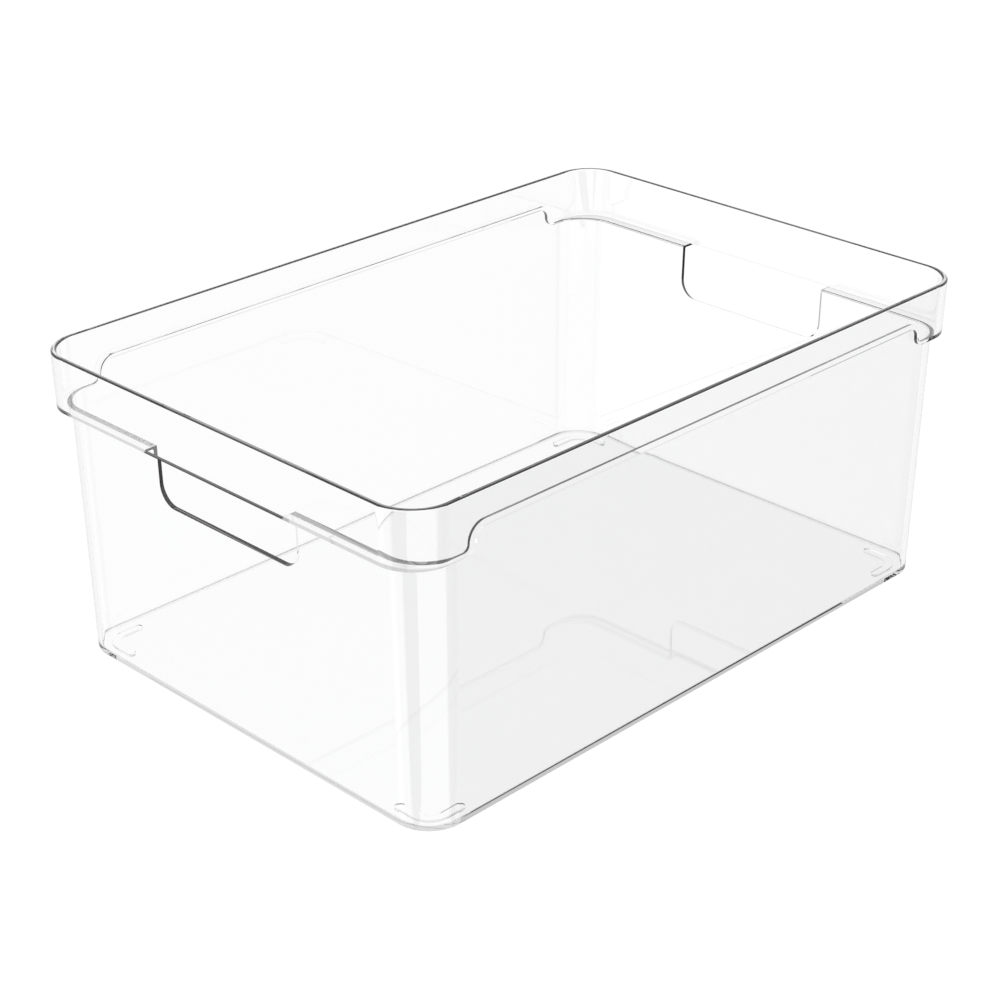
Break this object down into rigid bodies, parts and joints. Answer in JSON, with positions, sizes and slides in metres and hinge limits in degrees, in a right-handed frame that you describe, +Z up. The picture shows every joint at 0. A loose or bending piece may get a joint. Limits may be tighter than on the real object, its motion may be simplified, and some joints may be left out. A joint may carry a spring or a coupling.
{
  "type": "storage bin",
  "caption": "Clear open-top storage bin with a wider band round its mouth, a hand hole under the band in each end, and L-shaped feet.",
  "frame": {"origin": "on the surface that the bin stands on, under the middle of the mouth", "axes": "+X along the length, towards one of the ends with a hand hole; +Y along the width; +Z up, out of the mouth"},
  "size_m": [0.34, 0.228, 0.144],
  "materials": {
    "clear_plastic": "clear, polished"
  },
  "bodies": {
    "root": {"bin": "clear_plastic"}
  },
  "joints": []
}
